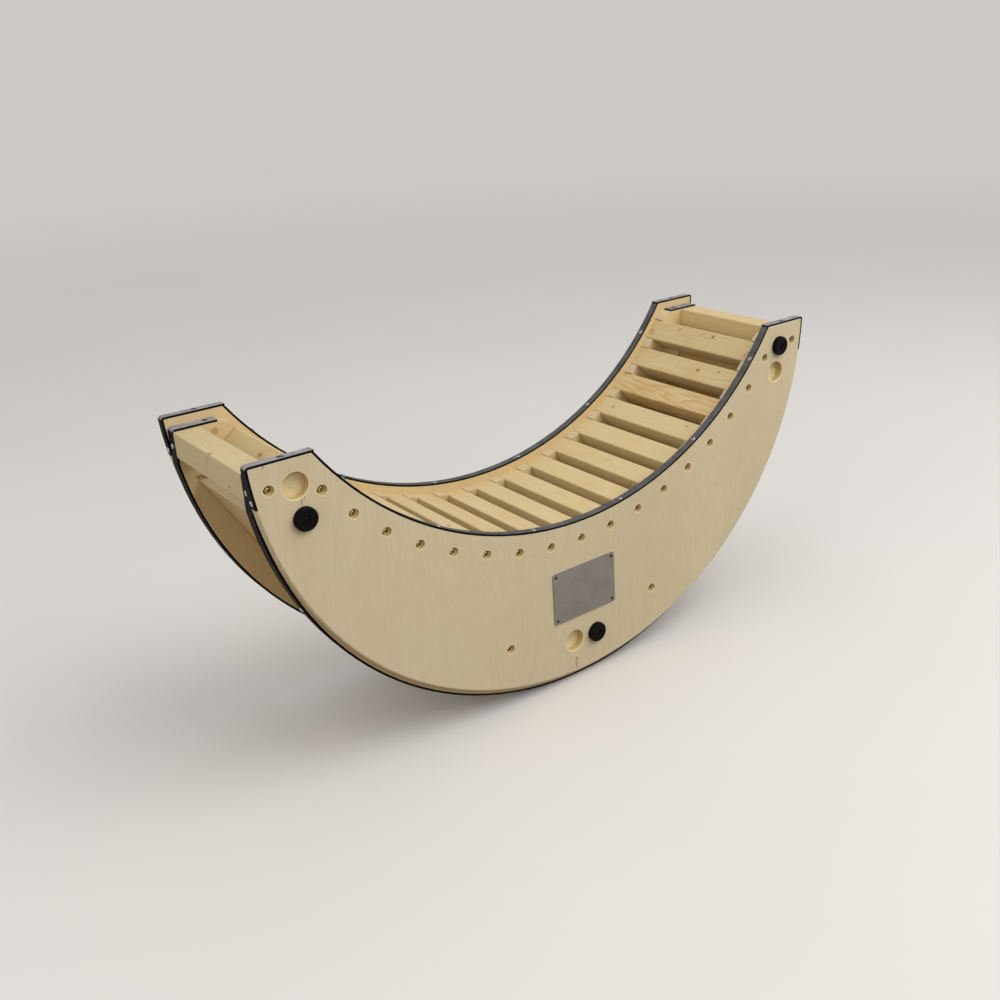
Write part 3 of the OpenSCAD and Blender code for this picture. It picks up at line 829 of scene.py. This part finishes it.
# %% Long screws and counterbores
# Rings marked False start the painted-shade band round the head's rim; those marked True, the
# recess.
LONG_SCREW = [
    (0.5, -60), (2.2, -57.8), (2.2, 0), (4.9, 0), (5, 0.3, False), (4.85, 0.8, False),
    (4.4, 1.5, False), (3.7, 2.15), (2.9, 2.6), (2.4, 2.8), (1.62, 2.92, True), (1.5, 2.8, True),
    (1.35, 1.0, True),
]
for side, front in (("front", True), ("rear", False)):
    for kind, spots in (("slat", slat_spots), ("frame", frame_spots)):
        places = both_sides(in_face(spots, COUNTERBORE))
        places = places[: len(spots)] if front else places[len(spots):]
        piece = repeated(f"{side}_{kind}_screw_set", turned(LONG_SCREW), places, yellow_zinc)
        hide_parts(f"{side}_{kind}_screws")


FRESH_WOOD = (0.86, 0.76, 0.48)


def fresh_marks(recipe, point, colour):
    """Fresh wood, which hasn't gone grey yet."""
    return blend(recipe, 0.7, colour, FRESH_WOOD)


# The cup wall's edge tint lightens it past plain ply edge: painted light on a wall in shade. The
# cup's face is fresh wood.
fresh_and_lit_look = {"edge": (1.15, 1.08, 0.85), "marks": fresh_marks, **OUTER_SHEET}
fresh_and_lit_ply = plywood("fresh_cut_lit_plywood", 9, **fresh_and_lit_look)
CUP = [
    (7.45, -6.47), (7.45, -0.3), (8.5, -0.02), (8.4, 0.035), (7.65, 0.035), (7.42, -0.05),
    (7.3, -0.3), (7.3, -6.4),
]
cup_places = both_sides(in_face(slat_spots + frame_spots))
cups = repeated("counterbore_cups", turned(CUP), cup_places, fresh_and_lit_ply)

# %% [markdown]
# ## Docking sockets
#
# Two arches can be set side by side, and then the bumpers of one dock in the round sockets of the
# other. A socket goes right through the outer panel, so its wall shows the plies, darkened with
# painted shade, and the inner panel's fresh, yellow face is its floor, made paler as painted light.
# A thin liner, turned on the lathe, gives both this colour and rounds the rim. In the left one's
# floor a small dark spot of painted shade stands for the pit of the bit's point.

# %% Sockets
BIT_POINT = (-449.0, 449.0)
# Fresh bored wood, made paler as painted light on the socket floor.
LIT_BORED_WOOD = (0.86, 0.74, 0.43)
# Painted shade of the small pit that the bit's point left.
BIT_PIT_SHADE = (0.10, 0.06, 0.035)


def bored_marks(recipe, point, colour):
    """A fresh floor, made paler as painted light, with rings cut by the bit round its point, and
    painted shade in the pit that point left in the left socket.
    """
    x, _, z = parts(recipe, point)
    off_x, off_z = x - BIT_POINT[0], z - BIT_POINT[1]
    off = (off_x * off_x + off_z * off_z) ** 0.5
    rings = noise(recipe, joined(recipe, off * 0.8, 0.0, 0.0), 1.0, 1.0)
    # Fresh wood, made paler as painted light.
    colour = blend(recipe, 0.85, colour, LIT_BORED_WOOD)
    colour = blend(recipe, step(rings, 0.45, 0.7) * 0.12, colour, BIRCH_LINE)
    # Painted shade in the pit of the bit's point.
    return blend(recipe, step(off, 0.95, 0.6) * 0.9, colour, BIT_PIT_SHADE)


SOCKET = [
    (17.45, -12.66), (17.45, -1.3), (19.2, -0.03), (19.1, 0.035), (18.5, 0.03), (18.15, -0.15),
    (17.6, -0.75), (17.4, -1.2), (17.3, -1.7), (17.3, -12.3), (17.0, -12.6),
]
socket_spots = [(-0.4473, 0.4545), (0.4408, 0.4095), (-0.022, 0.0695)]
# The socket wall's edge tint darkens it: painted shade on the wall inside the socket.
bored_look = {"edge": (0.98, 0.88, 0.62), "marks": bored_marks, **OUTER_SHEET}
bored_ply = plywood("bored_plywood", 11, **bored_look)
socket_places = both_sides(in_face(socket_spots))
sockets = repeated("docking_sockets", turned(SOCKET, FINE), socket_places, bored_ply)

# %% [markdown]
# ## Bumpers
#
# A bumper is a round rubber foot, moulded with a soft rim, a shallow dish and a deep recess for its
# screw. It is dull and black, so only the rim catches light. Fine dust keeps it from looking like a
# hole in the picture.

# %% Bumpers
BUMPER_BLACK = (0.003, 0.003, 0.003)
BUMPER_DUST = (0.007, 0.007, 0.006)


def moulded_rubber(name):
    """Dull black rubber with fine dust."""
    recipe = Recipe(name)
    point = place(recipe)
    dust = noise(recipe, point, 0.12, 3.0, 0.6)
    rough = 0.42 + dust * 0.2
    colour = blend(recipe, step(dust, 0.4, 0.75), BUMPER_BLACK, BUMPER_DUST)
    grain = bump(recipe, noise(recipe, point, 3.0, 2.0, 0.6), 0.06, 0.4)
    return recipe.finish(
        surface(recipe, Base_Color=colour, Roughness=rough, Normal=grain, Specular_IOR_Level=0.06)
    )


bumper_rubber = moulded_rubber("bumper_rubber")
BUMPER = [
    (15.9, 0), (16, 0.4), (16, 4.9), (15.85, 5.8), (15.4, 6.6), (14.7, 7.2), (13.9, 7.48),
    (13.0, 7.45), (12.4, 7.2), (11.9, 6.85), (11.3, 6.75), (7.4, 6.75), (6.7, 6.85), (6.1, 6.9),
    (5.5, 6.7), (5.1, 6.2), (5, 5.5), (5, 4.52),
]
bumper_spots = {"left": (-0.4408, 0.4095), "right": (0.4473, 0.4545), "lower": (0.022, 0.0695)}
OTHER_SIDE = {"left": "right", "right": "left", "lower": "lower"}
for side, spot in bumper_spots.items():
    names = (f"front_{side}_bumper", f"rear_{OTHER_SIDE[side]}_bumper")
    for name, where in zip(names, both_sides(in_face([spot]))):
        piece = repeated(name + "_foot", turned(BUMPER, FINE), [where], bumper_rubber)
        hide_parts(name)

# %% [markdown]
# ## Short screws
#
# The strips and bumpers are held by short screws with domed heads. Along the arc and the tread they
# stand on the rubber. In the level ends they are sunk flush, because the arch stands on these ends
# when it is turned over. Their places follow the circles that the strips lie on.

# %% Short screws
# Rings marked True are the recess, black with painted shade.
SHORT_SCREW = [
    (0.35, -14), (1.6, -12.4), (1.6, 0), (3.9, 0), (4, 0.15), (3.8, 0.5), (3.3, 1.0), (2.6, 1.4),
    (1.8, 1.66), (1.1, 1.72, True), (1.02, 1.6, True), (0.95, 0.65, True),
]
OUTER_Y, INNER_Y = -0.13335, -0.118
ARC_STRIP, ARC_STEP = (0.5063, 0.7775, OUTER_Y), math.radians(19.5)
TREAD_STRIP, TREAD_STEP = (0.508, 0.508, INNER_Y), math.radians(25.2)
END_STRIP, END_STRIP_Z = (0.5087, 0.522, OUTER_Y), 0.4455
TREAD_END_X, TREAD_END_Z = 0.5015, 0.4545
OUTER_TOP_X, OUTER_TOP_Z = 0.45905, 0.4924
INNER_TOP_X, INNER_TOP_Z = 0.4523, 0.4779
BOTH_ENDS = (-1, 1)


def round_circle(radius, middle_z, y, angle, inwards=False):
    """A place on a circle in the XZ plane, looking away from its middle or towards it."""
    x, z = on_circle(radius, middle_z, angle)
    sign = -1 if inwards else 1
    return (x, y, z), (sign * math.sin(angle), 0, -sign * math.cos(angle))


six = [k - 2.5 for k in range(6)]
arc_places = [round_circle(*ARC_STRIP, ARC_STEP * k, True) for k in six]
tread_places = [round_circle(*TREAD_STRIP, TREAD_STEP * k) for k in six]
tread_places += [((side * TREAD_END_X, INNER_Y, TREAD_END_Z), (side, 0, 0)) for side in BOTH_ENDS]
cap_turn = math.acos((END_STRIP[1] - END_STRIP_Z) / END_STRIP[0])
cap_places = [round_circle(*END_STRIP, side * cap_turn) for side in BOTH_ENDS]
cap_places += [((side * OUTER_TOP_X, OUTER_Y, OUTER_TOP_Z), (0, 0, 1)) for side in BOTH_ENDS]
cap_places += [((side * INNER_TOP_X, INNER_Y, INNER_TOP_Z), (0, 0, 1)) for side in BOTH_ENDS]
bumper_places = in_face(bumper_spots.values(), -0.0045)
for kind, places, metal in (
    ("arc_strip", arc_places, bright_steel),
    ("tread_strip", tread_places, bright_steel),
    ("cap_strip", cap_places, bright_steel),
    # The bumpers' screws are wholly black: painted shade in the bumper's deep recess.
    ("bumper", bumper_places, painted_shade_black),
):
    piece = repeated(f"{kind}_screw_set", turned(SHORT_SCREW), both_sides(places), metal)
    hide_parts(f"{kind}_screws")
    low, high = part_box(f"{kind}_screws")
    reach = max(abs(vertex.co.x) for vertex in piece.data.vertices) - (high[0] - low[0]) / 2
    print(kind, "screws reach", round(reach / MM, 2), "mm past the model's")

# %% [markdown]
# ## Pins of the plate
#
# The plate is nailed on with four small pins. Their heads have gone dark, and at a distance they
# are four black dots.

# %% Plate pins
PIN = [
    (0.5, -11.5), (1.2, -10.5), (1.2, 0), (2.3, 0), (2.4, 0.2), (2.2, 0.55), (1.7, 0.88),
    (1.0, 1.1), (0.3, 1.18),
]
PIN_INSET = 0.006
dark_steel = plated("dark_steel", (0.040, 0.040, 0.040), (0.020, 0.018, 0.016), 0.30)
plate_low, plate_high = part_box("name_plate")
pin_columns = (plate_low[0] + PIN_INSET, plate_high[0] - PIN_INSET)
pin_rows = (plate_low[2] + PIN_INSET, plate_high[2] - PIN_INSET)
pin_spots = [(x, z) for x in pin_columns for z in pin_rows]
pins = repeated("plate_pin_set", turned(PIN, 32), in_face(pin_spots, -0.0015), dark_steel)
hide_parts("plate_pins")

# %% [markdown]
# ## Floor
#
# A plain pale floor shows the arch's shadow. It is one large square, and it isn't part of the
# object. The real floor is brown concrete, which warms the wood from below, so for light that
# bounces this floor is brown too. Far away it fades into the colour of the backdrop, so that no
# horizon cuts the picture.

# %% Floor
FLOOR = 40
FADE_MM = (1500.0, 7000.0)
BACKDROP = (0.60, 0.575, 0.555)
BOUNCE_BROWN = (0.15, 0.115, 0.075)
floor_mesh = bpy.data.meshes.new("floor")
corners = [(-FLOOR, -FLOOR, 0), (FLOOR, -FLOOR, 0), (FLOOR, FLOOR, 0), (-FLOOR, FLOOR, 0)]
floor_mesh.from_pydata(corners, [], [(0, 1, 2, 3)])
floor = bpy.data.objects.new("floor", floor_mesh)
bpy.context.scene.collection.objects.link(floor)


def shown(recipe):
    """1 for what the camera sees, straight or in a shiny or clear surface, and 0 for lighting."""
    rays = recipe.node("ShaderNodeLightPath")
    return rays[0].math("MAXIMUM", rays[0], rays[3].math("MAXIMUM", rays[3], rays[6]))


recipe = Recipe("pale_floor")
point = place(recipe)
cloud = noise(recipe, point, 0.002, 3.0)
pale = blend(recipe, cloud, (0.700, 0.685, 0.665), (0.735, 0.720, 0.703))
tone = blend(recipe, shown(recipe), BOUNCE_BROWN, pale)
near_floor = surface(recipe, Base_Color=tone, Roughness=0.8, Specular_IOR_Level=0.1)
x, y, _ = parts(recipe, point)
far = step((x * x + y * y) ** 0.5, *FADE_MM) * shown(recipe)
far_floor = recipe.node("ShaderNodeEmission", {}, {"Color": (*BACKDROP, 1), "Strength": 1.0})[0]
whole_floor = recipe.node("ShaderNodeMixShader", {}, {0: far, 1: near_floor, 2: far_floor})[0]
finish_of(floor, recipe.finish(whole_floor))
print("floor laid")

# %% [markdown]
# ## Light
#
# The room in the photograph is lit softly from above and from the right. One large lamp stands
# there, a weaker one fills in from the left, and the pale world lights the rest. The camera and
# shiny metal see the backdrop's colour in its place.

# %% World and lamps
world = bpy.data.worlds.new("soft_room")
bpy.context.scene.world = world
sky = Recipe("soft_room", world)
daylight = {"Color": (1.0, 0.985, 0.96, 1), "Strength": 0.66}
lighting = sky.node("ShaderNodeBackground", {}, daylight)[0]
backdrop = sky.node("ShaderNodeBackground", {}, {"Color": (*BACKDROP, 1), "Strength": 1.0})[0]
sky_mix = sky.node("ShaderNodeMixShader", {}, {0: shown(sky), 1: lighting, 2: backdrop})[0]
sky.finish(sky_mix, "ShaderNodeOutputWorld")
ARCH_MIDDLE = Vector((0, 0, 0.25))
LAMP_DISTANCE, LAMP_SIZE = 3.5, 3.0


def soft_lamp(name, direction, power, tint):
    """A square lamp that looks at the arch from that direction."""
    data = bpy.data.lights.new(name, "AREA")
    data.shape, data.size, data.energy, data.color = "SQUARE", LAMP_SIZE, power, tint
    lamp = bpy.data.objects.new(name, data)
    away = Vector(direction).normalized()
    lamp.location = ARCH_MIDDLE + away * LAMP_DISTANCE
    lamp.rotation_euler = away.to_track_quat("Z", "Y").to_euler()
    bpy.context.scene.collection.objects.link(lamp)


soft_lamp("window_lamp", (0.5, -0.8, 1.0), 77, (1.0, 0.985, 0.955))
soft_lamp("fill_lamp", (-1.0, -0.10, 0.45), 24, (1.0, 0.975, 0.94))
print("world and two lamps")
